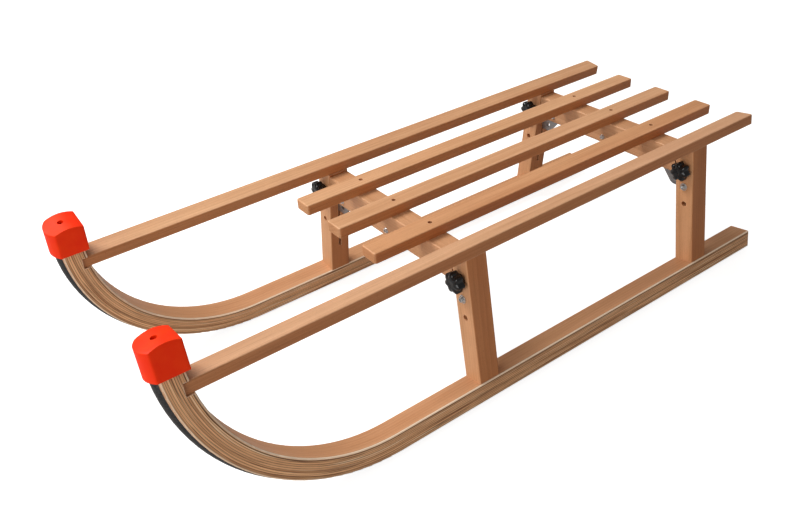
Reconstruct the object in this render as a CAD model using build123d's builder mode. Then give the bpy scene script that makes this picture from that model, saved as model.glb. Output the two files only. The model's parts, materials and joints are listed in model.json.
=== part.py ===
from build123d import *
from math import acos, cos, degrees, radians, sin, sqrt, tan
import os

# Folding wooden sled with a slatted seat. Millimetres.
# It points along -Y, +X is the rider's left, +Z is up, and the origin is on the ground under its middle.
# The two side frames lean outwards at the foot. Inside a frame, places are given as OUT (0 on the
# outer face of the legs, negative towards the middle), Y, and UP (0 on the runner's underside).

# Side frames
rear_end = 517              # Y of the rear ends of the runners and of every slat
frame_splay = 8             # lean of a side frame from upright, degrees
frame_height = 240          # top of the side slat
side_slat_width = 30
side_slat_thick = 16
slat_let_in = 9             # front end of the side slat, into the curled runner
front_leg_y = -76           # middle of the front legs and of the front crossbeam
rear_leg_y = 383
leg_width = 32.5            # across the sled
leg_depth = 35              # along the sled
runner_width = 35
runner_thick = 30
runner_proud = 2.5          # runner outside the outer face of the legs
curl_radius = 268.5         # underside of the runner's curled front
curl_start = -238.5         # Y where the curl begins

# Half-round steel shoe under each runner
shoe_width = 22
shoe_rise = 6               # at its crown
shoe_rear_inset = 12
shoe_tip_short = 6          # its tip, inside the cap, below the runner's tip
shoe_screw_count = 4
shoe_screw_sink = 0.8       # heads below the crown
shoe_screw_lead = 0.35      # rearmost screw from the shoe's rear end, as a share of their spacing

# Moulded cap on each runner tip
cap_foot_rise = 14.5        # its lower rim above the side slat
cap_side_height = 38        # from the rim to where the arched top starts
cap_arch = 4.5              # rise of the arched top
cap_nose = 8                # bulge of its front, over the half-round shoe
cap_lip = 1.8               # front corners ahead of the runner
cap_wall = 2.6
cap_fit = 0.2               # each side of the runner
cap_rear_room = 3           # behind the runner's tip
cap_top_thick = 9           # at the crown
cap_top_gap = 1             # runner tip below the inside of the top
cap_corner = 3              # upright corners
cap_edge = 2                # edge of the arched top
cap_hole_radius = 4.2
cap_hole_depth = 5

# Fold pivots and knobs, in the legs
pivot_spacing = 347         # between the left and right pivots
pivot_up = 161.5
lock_pitch = 30             # knob hole above the pivot, storage hole below it
fold_gap = 0.8              # leg under the crossbeam when folded
splay_gap = 1.2             # leg beside the crossbeam's end when open
pivot_radius = 3
pivot_fit = 0.05            # steel strip on its pivot bolt
knob_screw_radius = 4
knob_screw_fit = 0.05       # in the threaded insert
knob_screw_room = 0.3       # in the front cheek of the leg
slot_width = 4.8            # slot in the leg's inner face, for the steel strip
slot_side_room = 0.75       # round the strip, across the leg
slot_top_room = 8.5
slot_end_room = 17
insert_radius = 5
insert_inset = 2.1          # threaded insert's inner end, off the slot

# Seat
seat_overhang = 104         # seat slats ahead of the front crossbeam's middle
seat_slat_width = 32
seat_slat_thick = 15.5
seat_slat_pitch = 84.5
beam_inset = 0.5            # crossbeam behind the faces of the legs
beam_height = 40
strip_thick = 4
strip_fit = 0.05            # strip in its saw kerf, each side
strip_bar_height = 20       # strip inside the crossbeam
strip_eye = 12              # strip round each hole at its ends
strip_notch_room = 0.4      # notch round the knob screw
strip_notch_arc = 45        # degrees of the notch, round the pivot
strip_edge_inset = 1        # strip above the crossbeam's underside
kerf_top_room = 1.3
strip_bolt_inset = 56.5     # outer bolts inside the pivots
strip_bolt_radius = 2.5
strip_bolt_room = 0.1

# Joinery
edge_round = 2              # along the timber's long edges
end_round = 3.5             # slat corners seen from above
tenon_width = 18
tenon_depth = 22
tenon_height = 10
tenon_fit = 0.1
housing_fit = 0.5           # side slat in the notch of the curled runner

# Fasteners: head radius, head height, shank radius, length
slat_screw = (3.2, 2.4, 2, 26)
leg_screw = (4.5, 3.4, 2.5, 62)
slat_end_screw = (4.5, 3.4, 2.5, 55)
shoe_screw = (3.6, 1.9, 1.75, 18)
cap_screw = (3.6, 2.4, 2, 28)
slat_screw_sink = 6         # heads below the seat's surface
slat_end_screw_sink = 1.5   # heads below the runner's front
head_room = 0.1
recess_arm = 0.25           # driver recess across an arm, as a share of the head's radius
recess_depth = 0.5          # and its depth, as a share of the head's height
button_taper = 25           # degrees, side of a button head
socket_radius = 0.4         # hexagon socket, as a share of the head's radius
socket_depth = 0.75         # and of its height
nut_hex_share = 0.75        # hexagon in a nut's height, the rest is its collar
nut_collar_radius = 0.42    # as a share of the nut's flats
strip_bolt_head = 4.6
strip_bolt_head_height = 2.8
pivot_head = 5.2
pivot_head_height = 3.4
pivot_washer_radius = 6.2
pivot_washer_thick = 1.6
pivot_nut_flats = 10
pivot_nut_height = 6
strip_washer_radius = 5
strip_washer_thick = 1
strip_nut_flats = 8
strip_nut_height = 5

# Star knobs
knob_radius = 16
knob_lobes = 7
knob_lobe_radius = 4.6
knob_hub_radius = 9
knob_hub_height = 5
knob_height = 18
knob_dome = 4               # rise of the domed top
knob_dome_place = 0.6       # a point of the dome: share of the knob's radius,
knob_dome_fall = 0.3        # and share of the dome's rise below its crown
knob_dome_margin = 1        # the dome's curve goes on this far outside the lobes
knob_gap = 0.3              # hub off the leg's face
knob_screw_embed = 10       # screw inside the knob
knob_screw_short = 4        # its tip, off the leg's rear face

# ---- Worked out from the above ----
lean = radians(frame_splay)
out_dir = Vector(cos(lean), 0, sin(lean))
up_dir = Vector(-sin(lean), 0, cos(lean))
leg_mid = -leg_width / 2
slat_mid = -side_slat_width / 2
runner_mid = runner_proud - runner_width / 2
slat_under = frame_height - side_slat_thick
slat_end_up = frame_height - side_slat_thick / 2
leg_rows = (front_leg_y, rear_leg_y)

# The leaning half-round shoe touches the ground at Z = 0, beside its crown.
shoe_round = (shoe_width ** 2 / 4 + shoe_rise ** 2) / (2 * shoe_rise)
ground_rise = shoe_round - runner_mid * sin(lean) - (shoe_round - shoe_rise) * cos(lean)
foot = Vector(pivot_spacing / 2 - leg_mid * cos(lean) + pivot_up * sin(lean), 0, ground_rise)


def place(out, y, up):
    """World point of a place in the left frame."""
    return foot + out_dir * out + up_dir * up + Vector(0, y, 0)


def side_view(out):
    """Plane of the frame seen from outside: x is Y, y is UP."""
    return Plane(place(out, 0, 0), x_dir=(0, 1, 0), z_dir=out_dir)


def front_view(y, out=0, up=0):
    """Plane across the frame, facing forwards: x is OUT, y is UP."""
    return Plane(place(out, y, up), x_dir=out_dir, z_dir=(0, -1, 0))


def back_view(y, out=0, up=0):
    """Plane across the frame, facing backwards."""
    return Plane(place(out, y, up), x_dir=out_dir * -1, z_dir=(0, 1, 0))


def plan_view(up, out=0, y=0):
    """Plane square to the legs, facing up them: x is OUT, y is Y."""
    return Plane(place(out, y, up), x_dir=out_dir, z_dir=up_dir)


def under_view(up, out=0, y=0):
    """The same plane facing down."""
    return Plane(place(out, y, up), x_dir=out_dir * -1, z_dir=up_dir * -1)


def sled_front(y, x=0, z=0):
    """Upright plane across the whole sled, facing forwards: x is X, y is Z."""
    return Plane((x, y, z), x_dir=(1, 0, 0), z_dir=(0, -1, 0))


def sled_back(y, x=0, z=0):
    """The same plane facing backwards."""
    return Plane((x, y, z), x_dir=(-1, 0, 0), z_dir=(0, 1, 0))


pivot = place(leg_mid, 0, pivot_up)
knob_hole = place(leg_mid, 0, pivot_up + lock_pitch)
beam_under = pivot.Z + leg_width / 2 + fold_gap
beam_top = beam_under + beam_height
seat_top = beam_top + seat_slat_thick
seat_slat_front = front_leg_y - seat_overhang
seat_slat_length = rear_end - seat_slat_front
slat_columns = [seat_slat_pitch * column for column in (-1, 0, 1)]
beam_depth = leg_depth - 2 * beam_inset
strip_bolt_x = pivot.X - strip_bolt_inset
bolt_columns = [strip_bolt_x * column for column in (-1, 0, 1)]
strip_bolt_z = beam_under + strip_edge_inset + strip_bar_height / 2
strip_top = max(knob_hole.Z + strip_eye, strip_bolt_z + strip_bar_height / 2)
kerf_height = strip_top - beam_under + kerf_top_room
slot_reach = leg_width / 2 + strip_eye + slot_side_room
slot_high = pivot_up + lock_pitch + strip_eye + slot_top_room
slot_low = pivot_up - strip_bolt_inset - strip_bar_height / 2 - slot_end_room
insert_length = (leg_depth - slot_width) / 2 - insert_inset


def beam_end(z):
    """X of the crossbeam's end at height z: it follows the leaning leg."""
    face = place(-leg_width, 0, 0)
    return face.X - (z - face.Z) * tan(lean) - splay_gap / cos(lean)


def curl_across(radius, up):
    """Y of the curl's front stretch at a height, for a curve of the given radius."""
    return curl_start - sqrt(radius ** 2 - (up - curl_radius) ** 2)


# Curl, and the cap on its tip
cap_foot = frame_height + cap_foot_rise
cap_shoulder = cap_foot + cap_side_height
cap_crown = cap_shoulder + cap_arch
cap_inside_top = cap_crown - cap_top_thick
tip_up = cap_inside_top - cap_top_gap


def sweep_to(up):
    """Degrees round the curl from its start to a height."""
    return degrees(acos(1 - up / curl_radius))


curl_sweep = sweep_to(tip_up)
shoe_sweep = sweep_to(tip_up - shoe_tip_short)
tread_radius = curl_radius - runner_thick
side_slat_front = curl_across(tread_radius, slat_end_up) - slat_let_in
cap_out = runner_proud + cap_fit + cap_wall
cap_width = runner_width + 2 * (cap_fit + cap_wall)
cap_front = curl_start - curl_radius - cap_lip
cap_rear = max(curl_across(tread_radius, cap_foot), curl_across(tread_radius, tip_up)) \
    + cap_rear_room + cap_wall
cap_middle = (cap_front - cap_nose + cap_rear) / 2

# Where the heads of shared screws sit
slat_screw_planes = [Plane((x, y, seat_top - slat_screw_sink)) for y in leg_rows for x in slat_columns]
leg_screw_planes = [under_view(0, runner_mid, y) for y in leg_rows]
slat_end_y = curl_across(curl_radius, slat_end_up) + slat_end_screw_sink
slat_end_screw_plane = front_view(slat_end_y, slat_mid, slat_end_up)
shoe_rear = rear_end - shoe_rear_inset
shoe_screw_step = (shoe_rear - curl_start) / shoe_screw_count
shoe_screw_rows = [shoe_rear - shoe_screw_step * (n + shoe_screw_lead) for n in range(shoe_screw_count)]
shoe_screw_planes = [under_view(shoe_screw_sink - shoe_rise, runner_mid, y) for y in shoe_screw_rows]
cap_screw_plane = plan_view(cap_crown - cap_hole_depth, runner_mid, cap_middle)


def screw_shape(head_plane, sizes, mode=Mode.ADD):
    """Countersunk screw, or with SUBTRACT its hole. The head's face is on the plane."""
    head_radius, head_height, shank_radius, length = sizes
    half_section = Plane(head_plane.origin, x_dir=head_plane.x_dir, z_dir=head_plane.y_dir * -1)
    with BuildSketch(half_section) as half:
        with BuildLine():
            Polyline((0, 0), (head_radius, 0), (shank_radius, -head_height), (shank_radius, -length),
                     (0, -length), close=True)
        make_face()
    revolve(half.sketch, axis=Axis(head_plane.origin, head_plane.z_dir), mode=mode)


def bore(plane, radius, depth, mode=Mode.SUBTRACT):
    """Round hole behind the plane."""
    with BuildSketch(plane) as mouth:
        Circle(radius)
    extrude(mouth.sketch, amount=-depth, mode=mode)


def cross_recess(head_plane, sizes):
    """Driver recess in a screw's head."""
    with BuildSketch(head_plane) as cross:
        Rectangle(sizes[0], sizes[0] * recess_arm)
        Rectangle(sizes[0] * recess_arm, sizes[0])
    extrude(cross.sketch, amount=-sizes[1] * recess_depth, mode=Mode.SUBTRACT)


def make_screws(head_planes, sizes):
    with BuildPart() as screws:
        for plane in head_planes:
            screw_shape(plane, sizes)
            cross_recess(plane, sizes)
    return screws


def make_button_bolts(head_planes, head_radius, head_height, shank_radius, length):
    """Button-head bolts with a hexagon socket, each seated on its plane."""
    with BuildPart() as bolts:
        for plane in head_planes:
            with BuildSketch(plane):
                Circle(head_radius)
            extrude(amount=head_height, taper=button_taper)
            bore(plane, shank_radius, length, Mode.ADD)
            with BuildSketch(plane.offset(head_height)):
                RegularPolygon(head_radius * socket_radius, 6)
            extrude(amount=-head_height * socket_depth, mode=Mode.SUBTRACT)
    return bolts


def make_washers(planes, radius, hole_radius, thick):
    """Washers lying on their planes."""
    with BuildPart() as washers:
        for plane in planes:
            with BuildSketch(plane):
                Circle(radius)
                Circle(hole_radius, mode=Mode.SUBTRACT)
            extrude(amount=thick)
    return washers


def make_nuts(planes, flats, hole_radius, height):
    """Locking nuts on their planes, with a round collar above the hexagon."""
    with BuildPart() as nuts:
        for plane in planes:
            with BuildSketch(plane):
                RegularPolygon(flats / 2, 6, major_radius=False)
                Circle(hole_radius, mode=Mode.SUBTRACT)
            extrude(amount=height * nut_hex_share)
            with BuildSketch(plane.offset(height * nut_hex_share)):
                Circle(flats * nut_collar_radius)
                Circle(hole_radius, mode=Mode.SUBTRACT)
            extrude(amount=height * (1 - nut_hex_share))
    return nuts


def keep(piece, name):
    piece.part.label = name
    export_step(piece.part, f"parts/{name}.step")


def keep_pair(piece, name):
    """Write a left piece and its mirror image on the right."""
    keep(piece, f"{name}_left")
    with BuildPart() as other:
        mirror(piece.part, about=Plane.YZ)
    keep(other, f"{name}_right")


def make_runner():
    """Laminated runner, curled up at the front and notched for the side slat's end."""
    centre = (curl_start, curl_radius)
    with BuildPart() as runner:
        with BuildSketch(side_view(runner_proud)):
            with BuildLine():
                sole = Line((rear_end, 0), (curl_start, 0))
                outside = CenterArc(centre, curl_radius, 270, -curl_sweep)
                inside = CenterArc(centre, tread_radius, 270, -curl_sweep)
                tread = Line((curl_start, runner_thick), (rear_end, runner_thick))
                Line(sole @ 0, tread @ 1)
                Line(outside @ 1, inside @ 1)
            make_face()
        extrude(amount=-runner_width)
        sides = runner.faces().filter_by(lambda face: abs(face.normal_at().dot(out_dir)) > 0.99)
        fillet(sides.edges().filter_by(lambda edge: edge.length > 2 * runner_thick), edge_round)
        # housing for the slat's end
        housing_depth = runner_thick
        with BuildSketch(side_view(runner_proud)):
            with Locations((side_slat_front - housing_fit + housing_depth / 2, slat_end_up)):
                Rectangle(housing_depth, side_slat_thick + 2 * housing_fit)
        extrude(amount=-runner_width, mode=Mode.SUBTRACT)
        # mortises for the legs
        with BuildSketch(plan_view(runner_thick)):
            with Locations(*[(slat_mid, y) for y in leg_rows]):
                Rectangle(tenon_width + 2 * tenon_fit, tenon_depth + 2 * tenon_fit)
        extrude(amount=-(tenon_height + tenon_fit), mode=Mode.SUBTRACT)
        for plane in leg_screw_planes:
            screw_shape(plane, leg_screw, Mode.SUBTRACT)
        for plane in shoe_screw_planes:
            screw_shape(plane, shoe_screw, Mode.SUBTRACT)
        screw_shape(slat_end_screw_plane, slat_end_screw, Mode.SUBTRACT)
        bore(slat_end_screw_plane.offset(2 * slat_end_screw_sink), slat_end_screw[0],
             2 * slat_end_screw_sink)
        bore(cap_screw_plane, cap_screw[2], cap_screw[3])
    return runner


def make_shoe():
    """Half-round steel bar under the runner and up its curl."""
    with BuildPart() as shoe:
        with BuildSketch(front_view(curl_start, runner_mid)) as section:
            with BuildLine():
                back = Line((-shoe_width / 2, 0), (shoe_width / 2, 0))
                ThreePointArc(back @ 1, (0, -shoe_rise), back @ 0)
            make_face()
        extrude(section.sketch, amount=curl_start - shoe_rear)
        curl_axis = Axis(place(runner_mid, curl_start, curl_radius), out_dir * -1)
        revolve(section.sketch, axis=curl_axis, revolution_arc=shoe_sweep)
        for plane in shoe_screw_planes:
            screw_shape(plane, shoe_screw, Mode.SUBTRACT)
            bore(plane.offset(2 * shoe_screw_sink), shoe_screw[0], 2 * shoe_screw_sink)
    return shoe


def cap_outline(rear, half_width, nose):
    """Cap's outline seen from above, with its bulged front, on the plane of its rim."""
    with BuildSketch(plan_view(cap_foot, runner_mid)) as outline:
        with BuildLine():
            Polyline((-half_width, cap_front), (-half_width, rear), (half_width, rear),
                     (half_width, cap_front))
            ThreePointArc((half_width, cap_front), (0, cap_front - nose), (-half_width, cap_front))
        make_face()
    return outline.sketch


def make_cap():
    """Hollow cap with an arched top, pushed over the runner's tip and held by one sunk screw."""
    with BuildPart() as cap:
        extrude(cap_outline(cap_rear, cap_width / 2, cap_nose), amount=cap_crown - cap_foot)
        uprights = cap.edges().filter_by(lambda edge: abs((edge % 0.5).dot(up_dir)) > 0.99)
        fillet(uprights, cap_corner)
        with BuildSketch(side_view(cap_out)) as side:
            with BuildLine():
                rim = Line((cap_rear, cap_foot), (cap_front - cap_nose, cap_foot))
                front = Line(rim @ 1, (cap_front - cap_nose, cap_shoulder))
                arch = ThreePointArc(front @ 1, (cap_middle, cap_crown), (cap_rear, cap_shoulder))
                Line(arch @ 1, rim @ 0)
            make_face()
        extrude(side.sketch, amount=-cap_width, mode=Mode.INTERSECT)
        top = cap.faces().sort_by(lambda face: face.center().dot(up_dir))[-1]
        fillet(top.edges(), cap_edge)
        # inside
        inside = cap_outline(cap_rear - cap_wall, runner_width / 2 + cap_fit, cap_nose - cap_wall)
        extrude(inside, amount=cap_inside_top - cap_foot, mode=Mode.SUBTRACT)
        bore(plan_view(cap_crown, runner_mid, cap_middle), cap_hole_radius, cap_hole_depth)
        screw_shape(cap_screw_plane, cap_screw, Mode.SUBTRACT)
    return cap


def make_side_slat():
    """Long slat on top of the frame, its front end let into the runner's curl."""
    with BuildPart() as slat:
        with BuildSketch(front_view(side_slat_front, slat_mid, slat_end_up)):
            Rectangle(side_slat_width, side_slat_thick)
        extrude(amount=side_slat_front - rear_end)
        rear_face = slat.faces().sort_by(Axis.Y)[-1]
        ends = rear_face.edges().filter_by(lambda edge: abs((edge % 0.5).dot(up_dir)) > 0.99)
        fillet(ends, end_round)
        top = slat.faces().sort_by(lambda face: face.center().dot(up_dir))[-1]
        fillet(top.edges().filter_by(GeomType.LINE).filter_by(Axis.Y), edge_round)
        with BuildSketch(under_view(slat_under)):
            with Locations(*[(-slat_mid, y) for y in leg_rows]):
                Rectangle(tenon_width + 2 * tenon_fit, tenon_depth + 2 * tenon_fit)
        extrude(amount=-(tenon_height + tenon_fit), mode=Mode.SUBTRACT)
        screw_shape(slat_end_screw_plane, slat_end_screw, Mode.SUBTRACT)
    return slat


def make_leg(y):
    """Leg with a tenon at each end and a deep slot in its inner face for the steel strip."""
    front_face = y - leg_depth / 2
    back_face = y + leg_depth / 2
    with BuildPart() as leg:
        with BuildSketch(plan_view(runner_thick, leg_mid, y)):
            RectangleRounded(leg_width, leg_depth, edge_round)
        extrude(amount=slat_under - runner_thick)
        with BuildSketch(plan_view(runner_thick - tenon_height, slat_mid, y)):
            Rectangle(tenon_width, tenon_depth)
        extrude(amount=slat_under - runner_thick + 2 * tenon_height)
        with BuildSketch(front_view(y - slot_width / 2)):
            with Locations((-leg_width + slot_reach / 2, (slot_low + slot_high) / 2)):
                Rectangle(slot_reach, slot_high - slot_low)
        extrude(amount=-slot_width, mode=Mode.SUBTRACT)
        bore(front_view(front_face, leg_mid, pivot_up), pivot_radius, leg_depth)
        for up in (pivot_up + lock_pitch, pivot_up - lock_pitch):
            bore(front_view(front_face, leg_mid, up), knob_screw_radius + knob_screw_room, leg_depth / 2)
            bore(back_view(back_face, leg_mid, up), insert_radius, leg_depth / 2)
        for plane in leg_screw_planes:
            screw_shape(plane, leg_screw, Mode.SUBTRACT)
    return leg


def make_inserts():
    """Threaded sleeves in the rear cheeks of the legs, one for each knob hole and storage hole."""
    with BuildPart() as inserts:
        for y in leg_rows:
            for up in (pivot_up + lock_pitch, pivot_up - lock_pitch):
                with BuildSketch(back_view(y + leg_depth / 2, leg_mid, up)):
                    Circle(insert_radius)
                    Circle(knob_screw_radius + knob_screw_fit, mode=Mode.SUBTRACT)
                extrude(amount=-insert_length)
    return inserts


def make_knob(y):
    """Moulded star knob on the front face of a leg."""
    back = y - leg_depth / 2 - knob_gap
    base = front_view(back, leg_mid, pivot_up + lock_pitch)
    lobe_circle = knob_radius - knob_lobe_radius
    with BuildPart() as knob:
        with BuildSketch(base):
            Circle(knob_hub_radius)
        extrude(amount=knob_height)
        with BuildSketch(base.offset(knob_hub_height)):
            Circle(lobe_circle)
            with PolarLocations(lobe_circle, knob_lobes, start_angle=90):
                Circle(knob_lobe_radius)
        extrude(amount=knob_height - knob_hub_height)
        # domed top
        dome_plane = Plane(base.origin, x_dir=out_dir, z_dir=up_dir * -1)
        with BuildSketch(dome_plane):
            with BuildLine():
                axis_line = Line((0, 0), (0, knob_height))
                rim = knob_radius + knob_dome_margin
                dome_point = (knob_radius * knob_dome_place, knob_height - knob_dome * knob_dome_fall)
                dome = ThreePointArc(axis_line @ 1, dome_point, (rim, knob_height - knob_dome))
                side = Line(dome @ 1, (rim, 0))
                Line(side @ 1, axis_line @ 0)
            make_face()
        revolve(axis=Axis(base.origin, (0, 1, 0)), mode=Mode.INTERSECT)
        bore(base.offset(knob_screw_embed), knob_screw_radius, knob_screw_embed)
    return knob


def make_knob_screw(y):
    """Steel screw moulded into the knob, reaching through the leg into the threaded insert."""
    front = front_view(y - leg_depth / 2 - knob_gap - knob_screw_embed, leg_mid, pivot_up + lock_pitch)
    with BuildPart() as screw:
        with BuildSketch(front):
            Circle(knob_screw_radius)
        extrude(amount=-(knob_screw_embed + knob_gap + leg_depth - knob_screw_short))
    return screw


def make_crossbeam(y):
    """Seat crossbeam, its ends cut to the legs' lean, sawn from below for the steel strip."""
    with BuildPart() as beam:
        with BuildSketch(sled_front(y - beam_depth / 2)):
            with BuildLine():
                Polyline((-beam_end(beam_under), beam_under), (beam_end(beam_under), beam_under),
                         (beam_end(beam_top), beam_top), (-beam_end(beam_top), beam_top), close=True)
            make_face()
        extrude(amount=-beam_depth)
        fillet(beam.edges().filter_by(Axis.X), edge_round)
        kerf = strip_thick + 2 * strip_fit
        with BuildSketch(sled_front(y - kerf / 2, z=beam_under + kerf_height / 2)):
            Rectangle(pivot_spacing, kerf_height)
        extrude(amount=-kerf, mode=Mode.SUBTRACT)
        for x in bolt_columns:
            bore(sled_front(y - beam_depth / 2, x, strip_bolt_z), strip_bolt_radius, beam_depth)
        for plane in slat_screw_planes:
            screw_shape(plane, slat_screw, Mode.SUBTRACT)
    return beam


def make_strip(y):
    """Steel strip through the crossbeam. Each end has a pivot hole, an open notch for the knob screw
    and a hole that meets the leg's storage hole when the frame is folded flat."""
    with BuildPart() as strip:
        with BuildSketch(sled_front(y - strip_thick / 2)):
            with Locations((0, strip_bolt_z)):
                Rectangle(2 * strip_bolt_x, strip_bar_height)
            for side in (-1, 1):
                with BuildLine(mode=Mode.PRIVATE) as eyes:
                    CenterArc((side * pivot.X, pivot.Z), strip_eye, 0, 360)
                    CenterArc((side * knob_hole.X, knob_hole.Z), strip_eye, 0, 360)
                    CenterArc((side * (pivot.X - lock_pitch), pivot.Z), strip_eye, 0, 360)
                    CenterArc((side * strip_bolt_x, strip_bolt_z), strip_bar_height / 2, 0, 360)
                make_hull(eyes.edges())
        extrude(amount=-strip_thick)
        with BuildSketch(sled_front(y - strip_thick / 2)):
            for x in bolt_columns:
                with Locations((x, strip_bolt_z)):
                    Circle(strip_bolt_radius + strip_bolt_room)
            for side in (-1, 1):
                with Locations((side * pivot.X, pivot.Z)):
                    Circle(pivot_radius + pivot_fit)
                with Locations((side * (pivot.X - lock_pitch), pivot.Z)):
                    Circle(knob_screw_radius + knob_screw_room)
                with BuildLine(mode=Mode.PRIVATE) as path:
                    start = 90 + side * frame_splay
                    CenterArc((side * pivot.X, pivot.Z), lock_pitch, start, -side * strip_notch_arc)
                SlotArc(path.wires()[0], 2 * (knob_screw_radius + strip_notch_room))
        extrude(amount=-strip_thick, mode=Mode.SUBTRACT)
    return strip


def make_seat_slat(x):
    """Seat slat with rounded corners and counterbored screw holes."""
    with BuildPart() as slat:
        with BuildSketch(Plane.XY.offset(beam_top)):
            with Locations((x, (seat_slat_front + rear_end) / 2)):
                RectangleRounded(seat_slat_width, seat_slat_length, end_round)
        extrude(amount=seat_slat_thick)
        top = slat.faces().sort_by(Axis.Z)[-1]
        fillet(top.edges(), edge_round)
        for plane in slat_screw_planes:
            screw_shape(plane, slat_screw, Mode.SUBTRACT)
            bore(plane.offset(slat_screw_sink), slat_screw[0] + head_room, slat_screw_sink)
    return slat


def main():
    os.makedirs("parts", exist_ok=True)

    keep_pair(make_runner(), "runner")
    keep_pair(make_shoe(), "steel_shoe")
    keep_pair(make_screws(shoe_screw_planes, shoe_screw), "shoe_screws")
    keep_pair(make_cap(), "tip_cap")
    keep_pair(make_screws([cap_screw_plane], cap_screw), "cap_screw")
    keep_pair(make_side_slat(), "side_slat")
    keep_pair(make_screws([slat_end_screw_plane], slat_end_screw), "slat_end_screw")
    keep_pair(make_leg(front_leg_y), "front_leg")
    keep_pair(make_leg(rear_leg_y), "rear_leg")
    keep_pair(make_screws(leg_screw_planes, leg_screw), "leg_screws")
    keep_pair(make_inserts(), "threaded_inserts")

    leg_fronts = [front_view(y - leg_depth / 2, leg_mid, pivot_up) for y in leg_rows]
    leg_backs = [back_view(y + leg_depth / 2, leg_mid, pivot_up) for y in leg_rows]
    pivot_length = leg_depth + 2 * pivot_washer_thick + pivot_nut_height
    keep_pair(make_washers(leg_fronts + leg_backs, pivot_washer_radius, pivot_radius, pivot_washer_thick),
              "pivot_washers")
    keep_pair(make_button_bolts([plane.offset(pivot_washer_thick) for plane in leg_fronts],
                                pivot_head, pivot_head_height, pivot_radius, pivot_length), "pivot_bolts")
    keep_pair(make_nuts([plane.offset(pivot_washer_thick) for plane in leg_backs],
                        pivot_nut_flats, pivot_radius, pivot_nut_height), "pivot_nuts")

    for y, row in ((front_leg_y, "front"), (rear_leg_y, "rear")):
        keep_pair(make_knob(y), f"{row}_star_knob")
        keep_pair(make_knob_screw(y), f"{row}_knob_screw")
        keep(make_crossbeam(y), f"{row}_crossbeam")
        keep(make_strip(y), f"{row}_pivot_strip")

    for x, name in zip(slat_columns, ("right", "centre", "left")):
        keep(make_seat_slat(x), f"seat_slat_{name}")
    keep(make_screws(slat_screw_planes, slat_screw), "seat_slat_screws")

    bolt_places = [(y, x) for y in leg_rows for x in bolt_columns]
    beam_fronts = [sled_front(y - beam_depth / 2, x, strip_bolt_z) for y, x in bolt_places]
    beam_backs = [sled_back(y + beam_depth / 2, x, strip_bolt_z) for y, x in bolt_places]
    strip_bolt_length = beam_depth + strip_washer_thick + strip_nut_height
    keep(make_button_bolts(beam_fronts, strip_bolt_head, strip_bolt_head_height, strip_bolt_radius,
                           strip_bolt_length), "strip_bolts")
    keep(make_washers(beam_backs, strip_washer_radius, strip_bolt_radius, strip_washer_thick),
         "strip_washers")
    keep(make_nuts([plane.offset(strip_washer_thick) for plane in beam_backs],
                   strip_nut_flats, strip_bolt_radius, strip_nut_height), "strip_nuts")


main()
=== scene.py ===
import json
import math
import bpy
from mathutils import Matrix, Vector


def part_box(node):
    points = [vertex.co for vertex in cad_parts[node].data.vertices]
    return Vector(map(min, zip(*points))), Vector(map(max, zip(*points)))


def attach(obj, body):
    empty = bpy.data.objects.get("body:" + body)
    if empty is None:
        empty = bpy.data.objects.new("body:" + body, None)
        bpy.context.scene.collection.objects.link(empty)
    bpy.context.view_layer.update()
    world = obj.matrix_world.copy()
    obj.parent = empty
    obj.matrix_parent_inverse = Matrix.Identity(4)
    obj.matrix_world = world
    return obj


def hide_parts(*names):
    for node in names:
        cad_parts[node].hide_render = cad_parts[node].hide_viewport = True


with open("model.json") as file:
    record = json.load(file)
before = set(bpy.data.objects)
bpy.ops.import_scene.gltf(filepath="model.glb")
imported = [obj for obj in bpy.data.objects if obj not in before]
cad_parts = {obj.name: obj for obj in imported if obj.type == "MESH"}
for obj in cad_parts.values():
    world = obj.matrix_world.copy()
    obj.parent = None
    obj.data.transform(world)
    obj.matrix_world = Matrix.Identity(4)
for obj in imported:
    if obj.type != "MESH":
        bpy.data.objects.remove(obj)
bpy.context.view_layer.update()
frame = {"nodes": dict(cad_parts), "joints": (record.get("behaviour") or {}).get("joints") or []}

print("frame loaded")


# the materials are put together with these
def addNode(tree, kind, inputs=None, **settings):
    node = tree.nodes.new(kind)
    for name, value in settings.items():
        setattr(node, name, value)
    for socket, value in (inputs or {}).items():
        if isinstance(value, bpy.types.NodeSocket):
            tree.links.new(value, node.inputs[socket])
        else:
            node.inputs[socket].default_value = value
    return node


def calc(tree, operation, *values):
    return addNode(tree, "ShaderNodeMath", dict(enumerate(values)), operation=operation).outputs[0]


def scaled(tree, value, share):
    return calc(tree, "MULTIPLY", value, share)


def calcVector(tree, operation, a, b, output="Vector"):
    return addNode(tree, "ShaderNodeVectorMath", {0: a, 1: b}, operation=operation).outputs[output]


def mixColours(tree, factor, a, b, mode="MIX"):
    # a colour mix has its factor at 0, its colours at 6 and 7, and its result at 2
    sockets = {0: factor, 6: a, 7: b}
    return addNode(tree, "ShaderNodeMix", sockets, data_type="RGBA", blend_type=mode).outputs[2]


def tinted(tree, colour, tint):
    return mixColours(tree, 1.0, colour, tint, "MULTIPLY")


def noiseAt(tree, place, scales, detail=2.0):
    stretched = calcVector(tree, "MULTIPLY", place, scales)
    sockets = {"Vector": stretched, "Scale": 1.0, "Detail": detail}
    return addNode(tree, "ShaderNodeTexNoise", sockets).outputs["Fac"]


def spread(tree, value, low, high, toLow=0.0, toHigh=1.0):
    return addNode(tree, "ShaderNodeMapRange", {0: value, 1: low, 2: high, 3: toLow, 4: toHigh}).outputs[0]


def splitAxes(tree, vector):
    return addNode(tree, "ShaderNodeSeparateXYZ", {0: vector}).outputs


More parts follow.
